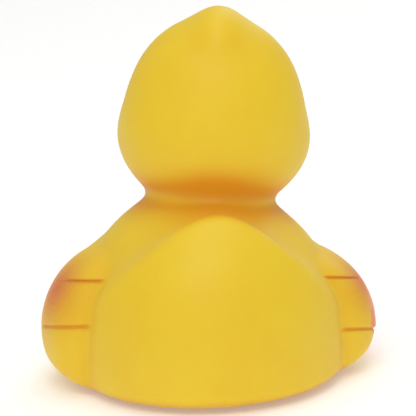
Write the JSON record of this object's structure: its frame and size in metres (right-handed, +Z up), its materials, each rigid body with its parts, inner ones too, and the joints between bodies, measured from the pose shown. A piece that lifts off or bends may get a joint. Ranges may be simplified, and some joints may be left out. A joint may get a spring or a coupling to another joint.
{
  "type": "rubber duck",
  "caption": "Hollow rubber duck bath toy with folded wings, an upswept tail, a tufted head and a flat base.",
  "frame": {"origin": "centre of the bounding box, on the plane of the flat base", "axes": "+Y forward towards the bill, +X to the duck's right, +Z up"},
  "size_m": [0.0921, 0.0877, 0.101],
  "materials": {
    "vinyl": "satin"
  },
  "bodies": {
    "root": {"duck": "vinyl"}
  },
  "joints": []
}
